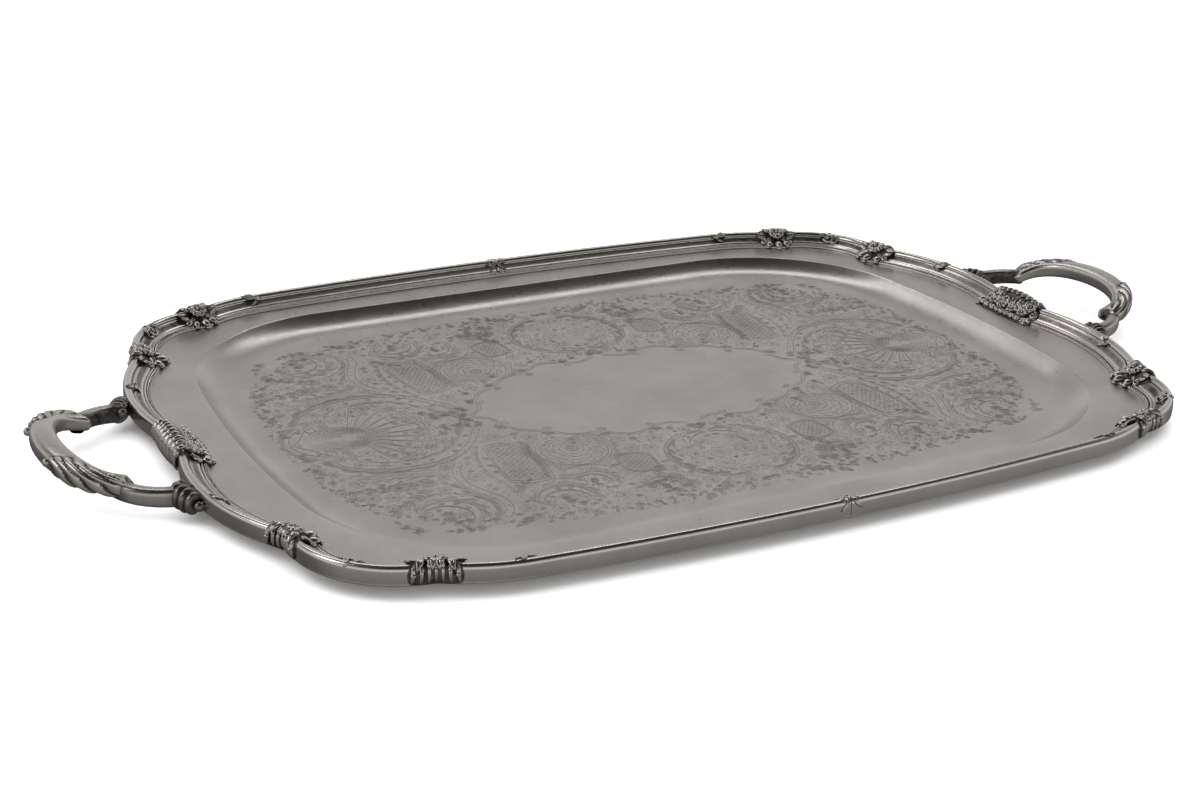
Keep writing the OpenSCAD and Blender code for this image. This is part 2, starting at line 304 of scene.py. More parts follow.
def silver(name, tone, dark, rough, wear=0.5, grain=1.0, stain=0.5):
    """Aged silver plate: cloudy tone, fine wiping scratches, oxide in the hollows, bright ridges; the hollow value
    also carries painted shade on some faces, which keeps them darker like oxide.
    """
    material = bpy.data.materials.new(name)
    s = Shader(material)
    where = s.add("ShaderNodeTexCoord").outputs["Object"]
    hollow = s.add("ShaderNodeAttribute", [("attribute_name", "hollow")]).outputs["Fac"]
    cloud, mottle, speck = s.noise(where, 22, 5), s.noise(where, 260, 4, 0.6), s.noise(where, 900, 2)
    body = s.mix(s.ramp(cloud, 0.35, 0.68), tint(tone), tint(tone, 0.84, 0.82, 0.79))
    worn = s.math("MULTIPLY", s.ramp(hollow, -0.1, -0.7), wear)
    body = s.mix(worn, body, tint(tone, 1.25, 1.25, 1.26))
    broken = s.math("MULTIPLY", s.ramp(mottle, 0.25, 0.7, 0.55, 1.0), s.ramp(hollow, 0.04, 0.45))
    body = s.mix(broken, body, tint(dark))
    spots = s.math("MULTIPLY", s.ramp(speck, 0.68, 0.78), stain)
    s.put(s.surface, "Base Color", s.mix(spots, body, tint(dark, 2.2, 2.1, 2.0)))
    s.put(s.surface, "Metallic", 1.0)
    gloss = s.add("ShaderNodeMath", i0=s.ramp(mottle, 0.3, 0.7, rough * 0.86, rough * 1.14),
                  i1=s.ramp(hollow, 0.05, 0.5, 0.0, 0.22)).outputs[0]
    s.put(s.surface, "Roughness", gloss)
    scratch = s.math("ADD", s.wipes(where, 0.5, (40, 900, 300), 0.4),
                     s.wipes(where, -0.9, (30, 700, 300), 0.45))
    fine = s.add("ShaderNodeBump", Strength=0.12 * grain, Distance=0.00006, Height=scratch).outputs[0]
    coarse = s.add("ShaderNodeBump", Strength=0.35 * grain, Distance=0.00012, Height=mottle,
                   Normal=fine).outputs[0]
    s.put(s.surface, "Normal", coarse)
    return material


def plain_floor():
    material = bpy.data.materials.new("studio_paper")
    s = Shader(material)
    where = s.add("ShaderNodeTexCoord").outputs["Object"]
    tone = s.mix(s.noise(where, 3), (0.93, 0.93, 0.93, 1), (0.96, 0.96, 0.955, 1))
    for key, value in (("Base Color", tone), ("Roughness", 0.9), ("Specular IOR Level", 0.1)):
        s.put(s.surface, key, value)
    return material


SATIN = silver("satin_plate", (0.60, 0.575, 0.545), (0.12, 0.11, 0.10), 0.31, stain=0.25)
ENGRAVED = silver("cut_lines", (0.40, 0.38, 0.36), (0.09, 0.085, 0.08), 0.45, grain=0.6, stain=0.2)
POLISHED = silver("border_plate", (0.64, 0.61, 0.575), (0.035, 0.032, 0.03), 0.20, stain=0.6)
CAST = silver("ornament_plate", (0.56, 0.53, 0.50), (0.012, 0.011, 0.01), 0.24, wear=0.8)
GRIP = silver("handle_plate", (0.55, 0.525, 0.495), (0.022, 0.02, 0.019), 0.28)
DARK = silver("dark_plate", (0.22, 0.21, 0.205), (0.012, 0.011, 0.011), 0.3, wear=0.9)


# ---------- the tray's sheet ----------
def well_reach(u, inset):
    """How far the well's outline, drawn in by inset, is from the middle along a direction u."""
    corner_x = WELL_A - WELL_END_R + math.sqrt((WELL_END_R - WELL_CORNER_R) ** 2
                                               - (WELL_B - WELL_CORNER_R) ** 2)
    corner_c = np.array([corner_x, WELL_B - WELL_CORNER_R])
    end_c = np.array([WELL_A - WELL_END_R, 0])
    b, re, rc = WELL_B - inset, WELL_END_R - inset, WELL_CORNER_R - inset
    turn = end_c + re * (corner_c - end_c) / norm(corner_c - end_c)

    def circle(c, r):
        along = u @ c
        return along + np.sqrt(along ** 2 - c @ c + r * r)

    angle = np.arctan2(u[:, 1], u[:, 0])
    side = b / np.maximum(u[:, 1], 1e-6)
    return np.where(angle > math.atan2(b, corner_x), side,
                    np.where(angle > math.atan2(turn[1], turn[0]), circle(corner_c, rc), circle(end_c, re)))


def well_line(inset):
    u = CREST / norm(CREST, axis=1, keepdims=True)
    return u * well_reach(u, inset)[:, None]


def whole_ring(q):
    """Four quarters joined into one closed run of points, anticlockwise from the right end."""
    return np.concatenate([q[::-1], q[1:] * [-1, 1], q[-2::-1] * [-1, -1], q[1:-1] * [1, -1]])


FOLD_DROP, FOLD_W = 0.3, 11.0          # the flange rounds down this far over this width into the fold
FLOOR_RINGS = (1, 0.97, 0.93, 0.87, 0.8, 0.7, 0.6, 0.5, 0.4, 0.3, 0.2, 0.1, 0.0001)


def sheet_height(inset):
    """Top of the sheet at a distance inside the fold: a rounded flange, the wall, then the floor."""
    t = np.clip((inset + math.hypot(inset, 0.35)) / 2 / WALL_W, 0, 1)
    rounding = FOLD_DROP * np.clip(1 + inset / FOLD_W, 0, 1) ** 2
    return FLANGE_Z - rounding - (WELL_DEPTH - FOLD_DROP) * (1 - (1 - t) ** WALL_POWER)


def tray_sheet():
    """The pressed sheet, both sides, from its edge under the border to the middle of the floor."""
    foot = CREST - (BORDER_IN + 0.6) * CREST_OUT
    insets = [-1.2, -0.5, -0.15, 0.15, 0.5, 1, 1.7] + [2.6 + 1.45 * k for k in range(13)]
    lines = [(CREST - 0.5 * CREST_OUT, FLANGE_Z), (foot, FLANGE_Z)]
    fold = well_line(insets[0])
    gap = norm(fold - foot, axis=1).mean()
    for f in np.arange(1, 8) / 8:
        lines.append((foot + (fold - foot) * f, sheet_height(insets[0] - gap * (1 - f))))
    lines += [(well_line(i), sheet_height(i)) for i in insets]
    lines += [(well_line(WALL_W) * f, SHEET_T) for f in FLOOR_RINGS]
    rings = np.array([np.column_stack([whole_ring(q), np.full(4 * len(q) - 4, z)]) for q, z in lines])
    drop = np.array([0, 0, SHEET_T])
    pile = Pile()
    pile.skin(rings, wrap=True, flip=True, hollow=0.0)
    pile.skin(rings - drop, wrap=True, hollow=0.0)
    pile.skin(np.stack([rings[0], rings[0] - drop]), wrap=True, hollow=0.0)
    piece("tray_sheet", pile, SATIN, ["tray_body"])


# ---------- the border ----------
def round_off(centre, r, start, end, n):
    a = fan(start, end, n)
    return np.array(centre) + r * np.stack([np.cos(a), np.sin(a)], 1)


def border_section():
    """[out from the crest line, up from the crest]: inner foot, bead channel, reed, cavetto, crest, face."""
    return np.concatenate([
        [(-12.0, -7.7), (-12.0, -7.2)],
        round_off((-11.75, -6.75), 0.25, 180, 60, 4),
        [(-11.35, -6.75), (-9.85, -6.75), (-9.62, -6.6)],
        round_off((-8.95, -6.15), 0.62, 190, 15, 8),
        [(-8.2, -6.35), (-8.05, -5.7), (-7.8, -5.3)],
        quadratic((-7.6, -5.15), (-5.4, -4.3), (-3.1, -2.3), 10),
        [(-2.95, -2.45), (-2.8, -2.4), (-2.65, -1.8)],
        quadratic((-2.5, -1.4), (-1.7, 0), (-0.2, 0), 10),
        quadratic((-0.2, 0), (1.7, -0.02), (2.1, -2.3), 12)[1:],
        quadratic((2.1, -2.3), (2.45, -5.6), (2.1, -8.3), 8)[1:],
        round_off((1.5, -8.55), 0.65, 15, -90, 6),
        [(-0.3, -9.2), (-0.5, -8.9), (-0.5, -7.7)]])


def swept(section, points, out):
    """Sections set square to the crest line."""
    flat = points[:, None] + section[None, :, :1] * out[:, None]
    z = np.broadcast_to(CREST_Z + section[:, 1], flat.shape[:2])
    return np.concatenate([flat, z[..., None]], 2)


def bead_row(pile):
    """Half-round beads in the channel, a little longer across the border than along it."""
    rail = CREST + BEAD_U * CREST_OUT
    along = distances(rail)
    count = int(along[-1] / BEAD_PITCH)
    lat, lon = fan(0, 90, 5)[:, None], fan(0, 360, 10)[::-1]
    ring = np.cos(lat)
    for s in (np.arange(count) + 0.5) * along[-1] / count:
        c = np.array([np.interp(s, along, rail[:, k]) for k in (0, 1)])
        t = np.array([np.interp(s + 0.4, along, rail[:, k]) for k in (0, 1)]) - c
        t = t / max(norm(t), 1e-9)
        side = np.array([-t[1], t[0]])
        flat = c + (BEAD_HALF[0] * ring * np.cos(lon))[..., None] * t
        flat = flat + (BEAD_HALF[1] * ring * np.sin(lon))[..., None] * side
        z = CREST_Z + BEAD_Z + BEAD_HALF[2] * np.sin(lat) + 0 * lon
        pile.skin(np.concatenate([flat, z[..., None]], 2), hollow=0.75 - 1.5 * np.sin(lat))


def border_quarters():
    """The swept section, drawn in a little at both ends, where two lengths butt."""
    section = border_section()
    middle = section.mean(0)
    shrunk = middle + (section - middle) * BUTT_SHRINK
    first, last = CREST[:1] + [BUTT_GAP, 0], CREST[-1:] + [0, BUTT_GAP]
    second, second_last = CREST[:1] + [BUTT_EASE, 0], CREST[-1:] + [0, BUTT_EASE]
    body = swept(section, np.concatenate([second, CREST[1:-1], second_last]), CREST_OUT)
    grid = np.concatenate([swept(shrunk, first, CREST_OUT[:1]), body, swept(shrunk, last, CREST_OUT[-1:])])
    shade = hollowness(grid, True, False, 0.06, 0.3)
    shade[:, 6:10] = np.maximum(shade[:, 6:10], 0.55)
    # Painted shade: the border's outer face below the crest is kept at least slightly hollow, so it never takes
    # the brighter worn tone and stays darker.
    outer = (section[:, 1] < -2.0) & (section[:, 0] > 0)
    shade[:, outer] = np.maximum(shade[:, outer], 0.02)
    pile = Pile()
    pile.skin(grid, wrap=True, hollow=shade)
    bead_row(pile)
    for corner, sign in CORNERS.items():
        piece("rim_" + corner, pile, POLISHED, ["border_" + corner], sign)


# ---------- the engraved floor ----------
# Plane points are complex numbers in millimetres, drawn in the quarter where both are positive.
FIELD_X, FIELD_Y, FIELD_POWER = 207.0, 138.0, 3.4      # where the engraving ends
RESERVE_X, RESERVE_Y = 108, 57                         # the plain oval in its middle
SLOPE = 0.2                                            # steepness of a cut's two sides


def turned(angle):
    return np.exp(1j * np.radians(angle))


def bow(c, r, start, end, gap=1.2):
    """Points round part of a circle."""
    n = max(5, int(abs(math.radians(end - start)) * r / gap) + 1)
    return c + r * turned(np.linspace(start, end, n))


def through(*points, gap=1.5):
    """A smooth line through a few points."""
    p = np.array([2 * points[0] - points[1], *points, 2 * points[-1] - points[-2]])
    runs = []
    for a, b, c, d in zip(p, p[1:], p[2:], p[3:]):
        t = np.linspace(0, 1, max(3, int(abs(c - b) / gap) + 1))[:-1]
        runs.append(0.5 * (2 * b + (c - a) * t + (2 * a - 5 * b + 4 * c - d) * t ** 2
                           + (3 * b - a - 3 * c + d) * t ** 3))
    return np.concatenate(runs + [p[-2:-1]])


def beside(line, gap):
    """The line moved to its left."""
    t = np.gradient(line)
    return line + 1j * gap * t / np.maximum(np.abs(t), 1e-9)


def swelling(n, power=0.6):
    """0 at both ends and 1 in the middle."""
    return np.sin(np.linspace(0, math.pi, n)) ** power


class Burin:
    """Cuts V-shaped lines in the floor: thin ribbons, low along the middle, in all four quarters."""

    def __init__(self):
        self.lines = []

    def cut(self, line, width=0.45, power=0.5):
        self.lines.append((line, width * (0.3 + 0.7 * swelling(len(line), power))))

    def dot(self, at, r=0.4):
        self.lines.append((at + r * np.linspace(-1, 1, 5), 2 * r * swelling(5, 0.6)))

    def double(self, line, gap, width=0.45):
        self.cut(line, width)
        self.cut(beside(line, gap), width * 0.8)

    def band(self, line, thick, width=0.5):
        """A plain band, widest in its middle."""
        self.cut(line, width)
        self.cut(beside(line, thick * swelling(len(line))), width)

    def curl(self, at, heading, r, hand=1, turns=1.2, width=0.45):
        """A spiral that leaves a point along a heading and winds in to its left or right."""
        centre = at + hand * 1j * turned(heading) * r
        n = max(8, int(turns * 2 * math.pi * r / 1.3))
        t = np.linspace(0, 1, n)
        self.cut(centre + (at - centre) * turned(hand * 360 * turns * t) * (1 - 0.82 * t), width)

    def feathers(self, line, length, lean=50, gap=1.3, lobes=5, width=0.4):
        """Acanthus fringe: curved strokes that leave a line on its left, long and short in lobes."""
        along = distances(line)
        count = max(2, int(along[-1] / gap))
        lobe_len = max(2.0, count / lobes)
        for k in range(count):
            s = (k + 0.5) / count * along[-1]
            base, ahead = follow(s, along, line), follow(s + 0.5, along, line)
            t = (ahead - base) / max(abs(ahead - base), 1e-9)
            tall = length * (0.35 + 0.65 * abs(math.sin(math.pi * k / lobe_len)))
            bend = base + 0.5 * tall * t * turned(lean + 30)
            tip = base + tall * t * turned(lean)
            self.cut(curve(base, bend, tip, np.linspace(0.08, 1, 5)), width)

    def leaf(self, at, heading, length, wide, bend=0.0, veins=2):
        t = np.linspace(0, 1, max(5, int(length / 1.2)))
        rib = at + length * t * turned(heading + bend * t)
        half = wide / 2 * np.sin(math.pi * t ** 0.8)
        for side in (1, -1):
            self.cut(beside(rib, side * half), 0.4)
            for k in range(veins):
                i = int((k + 1) * len(t) / (veins + 2))
                j = min(i + 2, len(t) - 1)
                edge = beside(rib, side * half * 0.8)[j]
                self.cut(rib[i] + (edge - rib[i]) * np.linspace(0, 1, 3), 0.25)
        self.cut(rib[:-1], 0.35)

    def flower(self, c, r, petals=6, turn=0.0):
        for k in range(petals):
            s = np.linspace(-1, 1, 7 if r > 4 else 5)
            a = turn + 360 / petals * (k + 0.46 * s)
            self.cut(c + r * (0.4 + 0.6 * np.sqrt(1 - 0.9 * s ** 2)) * turned(a), 0.4)
            mid = turned(turn + 360 / petals * k)
            self.cut(c + r * mid * np.linspace(0.34, 0.68, 3), 0.35)
        self.cut(bow(c, r * 0.26, 0, 360, 0.8), 0.45)
        self.dot(c, min(0.5, r * 0.1))

    def spray(self, at, heading, length, bend, pairs, leaf_len, veins=1):
        """A curved stem with leaves on both sides and one at its tip."""
        t = np.linspace(0, 1, max(6, int(length / 1.6)))
        stem = at + length * t * turned(heading + bend * t)
        self.cut(stem, 0.4)
        for k in range(pairs):
            i = int((k + 0.7) / pairs * (len(t) - 2))
            away = math.degrees(np.angle(stem[i + 1] - stem[i]))
            size = leaf_len * (1 - 0.35 * k / pairs)
            self.leaf(stem[i], away + 48, size, size * 0.42, -25, veins)
            self.leaf(stem[i], away - 48, size, size * 0.42, 25, veins)
        away = math.degrees(np.angle(stem[-1] - stem[-2]))
        self.leaf(stem[-1], away, leaf_len * 0.8, leaf_len * 0.34, 0, veins)

    def scallops(self, c, r, count, start, end, depth=0.14, width=0.45):
        """Small arches side by side round a circle."""
        for k in range(count):
            u = np.linspace(0, 1, 6)
            a = start + (end - start) * (k + u) / count
            self.cut(c + r * (1 - depth + depth * np.sqrt(np.sin(math.pi * u))) * turned(a), width)

    def lattice(self, a, b, c, d, across, up):
        """Crossing lines over a four-cornered panel inside a double edge, a dot in each mesh."""
        def inside(u, v):
            return (a * (1 - u) + b * u) * (1 - v) + (d * (1 - u) + c * u) * v
        for k in range(1, across + up):
            for rising in (True, False):
                lo, hi = max(0.0, k - up), min(float(across), k)
                if hi - lo < 0.2:
                    continue
                u = np.linspace(lo, hi, 6)
                v = (k - u) / up
                self.cut(inside(u / across, 1 - v if rising else v), 0.35, 0.2)
        for i in range(across):
            for j in range(up):
                self.dot(inside((i + 0.5) / across, (j + 0.5) / up), 0.28)
        corners = [a, b, c, d, a]
        middle = (a + b + c + d) / 4
        for p, q in zip(corners, corners[1:]):
            bulge = ((p + q) / 2 - middle) * 0.1
            edge = through(p, (p + q) / 2 + bulge, q)
            self.cut(edge, 0.6, 0.2)
            self.cut(middle + (edge - middle) * 1.13, 0.5, 0.2)

    def c_scroll(self, p, q, bulge, curl=2.6):
        """A bowed double line from p to q with a small volute at each end."""
        mid = (p + q) / 2 + 1j * (q - p) / abs(q - p) * bulge
        line = through(p, mid, q, gap=2)
        self.double(line, 1.7 if bulge > 0 else -1.7, 0.5)
        inward = 1 if bulge < 0 else -1
        self.curl(line[-1], math.degrees(np.angle(line[-1] - line[-2])), curl, inward, 1.1)
        self.curl(line[0], math.degrees(np.angle(line[0] - line[1])), curl, -inward, 1.1)

    def crescent(self, c, r, facing, spread, thick):
        """A plain C-shaped band with a volute, a fringe on its back and leaves in its mouth."""
        line = bow(c, r, facing - spread, facing + spread)
        self.band(line, thick, 0.6)
        self.cut(beside(line, (thick + 0.9) * swelling(len(line))), 0.3)
        self.feathers(line[::-1], 7.5, 42, 1.25, 7)
        self.cut(bow(c, r + 8.5, facing - spread * 0.7, facing + spread * 0.75), 0.4)
        self.curl(line[-1], facing + spread + 90, r * 0.26, 1, 1.4)
        self.curl(line[0], facing - spread - 90, r * 0.2, -1, 1.1)
        self.spray(c + turned(facing) * (r - thick - 3), facing + 160, r * 1.25, 50, 3, r * 0.42)
        self.spray(c + turned(facing + 60) * (r * 0.3), facing - 120, r * 0.8, -40, 2, r * 0.32)


def cut_reserve(b):
    """Scrolled frame of the plain oval in the middle."""
    humps = [(3 + 55j, 21.5 + 50.5j, -2.5), (22 + 50.5j, 49 + 46j, 6.0), (50 + 45j, 75 + 33.5j, 4.0),
             (76 + 32.5j, 93 + 17j, 3.0), (93.5 + 15.5j, 104 + 1.5j, -2.5)]
    for p, q, bulge in humps:
        b.c_scroll(p, q, bulge)
        out = math.degrees(np.angle((q - p) * 1j))
        for lean, size in ((0, 6.5), (38, 5), (-38, 5)):
            b.leaf(q + 1.5 * turned(out), out + lean, size, size * 0.4, lean / 3, 1)
        b.spray((p + q) / 2 + (bulge + 3.2) * turned(out), out - 60, 7, 50, 1, 4)
    for k in range(4):
        b.leaf(0.4 + 57j, 88 - 24 * k, 8 - k, 2.6, -6 * k, 1)


def cut_shell(b):
    """Scallop shell at the end of the floor, with its frame and the crescent behind it."""
    base, ribs, spread = 173 + 0j, 5, 62
    for k in range(ribs + 1):
        a = 180 - (k + 0.5) * spread / ribs
        b.cut(base + turned(a) * np.linspace(9, 39, 16), 0.6)
        b.cut(base + turned(a - 2.2) * np.linspace(20, 38, 9), 0.3)
        b.cut(base + turned(a + 5.5) * np.linspace(10, 24, 8), 0.3)
    edge = 180 + spread / ribs / 2
    for r, depth in ((43, 0.1), (40, 0.09), (45.5, 0.08)):
        b.scallops(base, r, ribs + 1, edge, edge - spread * (ribs + 1) / ribs, depth)
    for k in range(7):
        b.cut(bow(178, 4 + 1.9 * k, 4, 150 + 3 * k), 0.45)
        b.cut(bow(170 + 4j, 2 + 1.1 * k, 40, 250 - 8 * k), 0.4)
    b.band(bow(181, 21.5, -1, 68), 5.5, 0.6)
    b.curl(181 + 21.5 * turned(68), 160, 4.2, 1, 1.3, 0.6)
    b.feathers(bow(181, 23, 66, 2), 6.5, 48, 1.4, 4)
    frame_line = through(190 + 24j, 186 + 34j, 176 + 42j, 162 + 46.5j, 147 + 47j, 134 + 43.5j,
                         124 + 36j, 116 + 26j, 109 + 15j, 103 + 6j)
    b.double(frame_line, -3.4, 0.6)
    b.feathers(frame_line[:46][::-1], 8.0, 52, 1.35, 6)
    b.feathers(beside(frame_line, 4.2)[30:], 9.0, 40, 1.6, 5)
    b.cut(through(184 + 20j, 177 + 31j, 163 + 38j, 148 + 39j, 133 + 34j, 123 + 24j), 0.45)
    b.spray(128 + 6j, 178, 22, -12, 3, 6)
    b.spray(131 + 17j, 205, 15, 10, 2, 5)
    for at, r, n in ((152 + 33j, 4.2, 6), (166 + 30j, 3.6, 5), (138 + 28j, 3.6, 6), (178 + 25j, 3.0, 5)):
        b.flower(at, r, n, 20)


def cut_flowers(b):
    """Heart-shaped frame full of flowers at the middle of the long side."""
    heart = through(0.6 + 66j, 11 + 65j, 22 + 69j, 31 + 78j, 35 + 90j, 33.5 + 103j, 27 + 115j,
                    16 + 123j, 5 + 127j)
    b.double(heart, 2.6, 0.6)
    b.feathers(heart[12:60], 8.0, 50, 1.3, 7)
    b.band(bow(0 + 86j, 17.5, -88, -22), -4.5, 0.6)
    b.curl(86j + 17.5 * turned(-22), 70, 3.2, 1, 1.3)
    for at, r, n in ((7.5 + 94j, 6.4, 7), (20 + 91j, 5.2, 6), (12 + 107j, 5.8, 6), (25 + 101j, 4.6, 5),
                     (4 + 117j, 4.6, 6), (19 + 114j, 4.2, 5), (9 + 79j, 3.8, 5), (26.5 + 84j, 3.6, 5)):
        b.flower(at, r, n, 11 * r)
    for row in ((37 + 108j, 35, 26, -20, 4, 8), (34 + 116j, 62, 20, -35, 3, 7),
                (18 + 127j, 15, 24, 14, 4, 6), (40 + 97j, 10, 12, 30, 2, 6)):
        b.spray(*row)
    b.crescent(52 + 118j, 9.5, 250, 95, 3.2)


def cut_panels(b):
    """The two lattice panels and the ringed shell between them."""
    b.lattice(43 + 80j, 58 + 77j, 61 + 96j, 45 + 99j, 5, 6)
    b.lattice(97 + 45j, 114 + 42j, 119 + 82j, 101 + 86j, 5, 11)
    b.cut(through(92 + 42j, 94 + 56j, 95 + 72j, 99 + 90j, 108 + 94j), 0.5)
    b.feathers(through(99 + 90j, 95 + 72j, 94 + 56j, 92 + 42j), 5.5, 50, 1.4, 7)
    b.feathers(through(118 + 40j, 123 + 56j, 124 + 72j, 121 + 88j), 5.5, -50, 1.4, 7)
    centre = 75 + 61j
    for k, r in enumerate((3.6, 6.6, 9.8, 13.2, 16.4)):
        b.scallops(centre + (16.4 - r) * 0.16 * turned(250), r, 5 + 2 * k, 8 * k, 360 + 8 * k, 0.16, 0.5)
    b.cut(bow(centre, 18.6, -60, 240), 0.6)
    b.cut(bow(centre, 20.2, -50, 230), 0.45)
    b.feathers(bow(centre, 20.6, 228, -50), 6.0, 52, 1.5, 9)
    b.flower(centre + 2 * turned(250), 2.8, 5)


def cut_scrolls(b):
    """Crescents of the corner, long plain bands and the sprays between them."""
    for row in ((161 + 105j, 14.5, 228, 108, 5.4), (103 + 111j, 13.5, 262, 104, 4.8),
                (81 + 98j, 9.5, 235, 95, 3)):
        b.crescent(*row)
    band = through(131 + 52j, 137 + 62j, 139 + 75j, 135 + 88j, 130 + 99j, 131 + 111j, 138 + 121j)
    b.double(band, -4.0, 0.55)
    b.feathers(through(143 + 121j, 136 + 111j, 135 + 99j, 140 + 88j, 144 + 75j), 6.5, 48, 1.4, 6)
    b.double(through(146 + 56j, 157 + 53j, 168 + 50j, 180 + 50j, 190 + 44j), 3.0, 0.5)
    b.feathers(through(146 + 60j, 157 + 57j, 168 + 54j, 180 + 54j), 7.5, 50, 1.4, 5)
    for row in ((150 + 68j, 4, 38, -8, 5, 9, 2), (156 + 76j, 22, 28, 10, 4, 8),
                (192 + 60j, 40, 16, 30, 2, 7), (124 + 100j, 250, 18, -20, 3, 6),
                (118 + 122j, 10, 18, 10, 3, 6), (176 + 118j, -20, 16, -30, 2, 6),
                (148 + 124j, 10, 18, -16, 3, 5.5), (196 + 32j, 40, 14, 20, 2, 6)):
        b.spray(*row)
    for row in ((172 + 68j, 5.4, 6, 10), (188 + 74j, 4.4, 6, 30), (183 + 88j, 3.8, 5, 0)):
        b.flower(*row)


def outer_share(p):
    """Below 1 inside the engraved field, 1 on its edge."""
    return (np.abs(p.real) / FIELD_X) ** FIELD_POWER + (np.abs(p.imag) / FIELD_Y) ** FIELD_POWER


def in_reserve(p):
    return (np.abs(p.real) / RESERVE_X) ** 1.9 + (np.abs(p.imag) / RESERVE_Y) ** 2.4 < 1


def cut_filling(b, taken):
    """Small sprigs, commas and dots wherever the motifs leave room."""
    rng, count = np.random.default_rng(11), 15000
    spots = rng.uniform(1.2, FIELD_X, count) + 1j * rng.uniform(1.2, FIELD_Y, count)
    spots = spots[(outer_share(spots) < 1) & ~in_reserve(spots)]
    crowd = np.concatenate([line for line, width in taken])
    free = np.full(len(spots), 9.0)
    for start in range(0, len(spots), 1000):
        part = slice(start, start + 1000)
        free[part] = np.abs(spots[part, None] - crowd[None]).min(1)
    placed, room = np.empty(0, complex), np.empty(0)
    for i in np.argsort(-free, kind="stable"):
        p = spots[i]
        reach = min(free[i], 5.0, (np.abs(p - placed) - room).min() if len(placed) else 9.0, p.real, p.imag)
        reach = min(reach, 2.3) if outer_share(p) > 0.86 else reach
        if reach < 0.95:
            continue
        placed, room = np.append(placed, p), np.append(room, reach)
        way = rng.uniform(0, 360)
        if reach > 3.4:
            b.flower(p, reach * 0.85, 5 + i % 2, way)
        elif reach > 2.2:
            b.leaf(p - reach * 0.8 * turned(way), way, reach * 1.7, reach * 0.9, 20, 1)
        elif reach > 1.4:
            b.curl(p - reach * 0.6 * turned(way), way + 60, reach * 0.55, 1 if i % 2 else -1, 0.75, 0.32)
        else:
            b.cut(bow(p, reach * 0.9, way, way + 120, 0.7), 0.3)


def cut_fringe(b):
    """Loose sprigs along the outer edge of the field."""
    rng = np.random.default_rng(5)
    for a in np.linspace(3, 87, 26):
        u = turned(a)
        edge = (1 / outer_share(u)) ** (1 / FIELD_POWER)
        b.spray(u * (edge - 9), a + rng.uniform(-40, 40), 6, rng.uniform(-40, 40), 1, 4.2, 0)
        b.curl(u * (edge - 5) + 3j, a + 70, 2.0, 1 if rng.uniform() < 0.5 else -1, 1.0)
        for k in range(3):
            b.dot(u * (edge + 1.5) + 1.4 * turned(a + 120 * k), 0.28)


def engraving(name, b):
    """All cuts of one burin as a mesh: left edge, low middle and right edge of each line."""
    pile = Pile()
    low = SHEET_T + 0.02
    for line, width in b.lines:
        t = np.gradient(line)
        side = 1j * width / 2 * t / np.maximum(np.abs(t), 1e-9)
        plane = np.stack([line + side, line, line - side], 1)
        z = low + SLOPE * np.stack([width / 2, width * 0, width / 2], 1)
        strip = np.stack([plane.real, plane.imag, z], 2)
        for mx in (1, -1):
            for my in (1, -1):
                pile.skin(strip * [mx, my, 1], flip=mx * my > 0, hollow=0.0)
    piece(name, pile, ENGRAVED)


def engraved_floor():
    motifs = {"reserve": cut_reserve, "shells": cut_shell, "flowers": cut_flowers,
              "panels": cut_panels, "scrolls": cut_scrolls, "fringe": cut_fringe}
    taken = []
    for name, draw in motifs.items():
        b = Burin()
        draw(b)
        taken += b.lines
        engraving("engraved_" + name, b)
    b = Burin()
    cut_filling(b, taken)
    engraving("engraved_filling", b)


# ---------- cast ornament ----------
def seat_line():
    """The border's upper side as out + up*j, from the flange inside it over the crest to the lip."""
    line = through(-24 - 7.7j, -18 - 7.7j, -13.2 - 7.6j, -12.1 - 6.4j, -10.3 - 5.8j, -8.2 - 5.4j, -6 - 4.2j,
                   -3.9 - 2.0j, -2.0 - 0.5j, 0 + 0.05j, 1.5 - 0.7j, 2.25 - 2.4j, 2.5 - 5j, 2.3 - 7.6j,
                   1.6 - 9.2j, gap=0.4)
    run, t = distances(line), np.gradient(line)
    return line, run - run[np.argmin(np.abs(line))], 1j * t / np.abs(t)


SEAT, SEAT_RUN, SEAT_UP = seat_line()


def on_border(s, v, h):
    """Points s along the quarter, v across the border from its crest and h off its face."""
    q = follow(v, SEAT_RUN, SEAT) + h * follow(v, SEAT_RUN, SEAT_UP)
    p, d = station(s)
    return np.concatenate([p + q.real[..., None] * d, (CREST_Z + q.imag)[..., None]], -1)


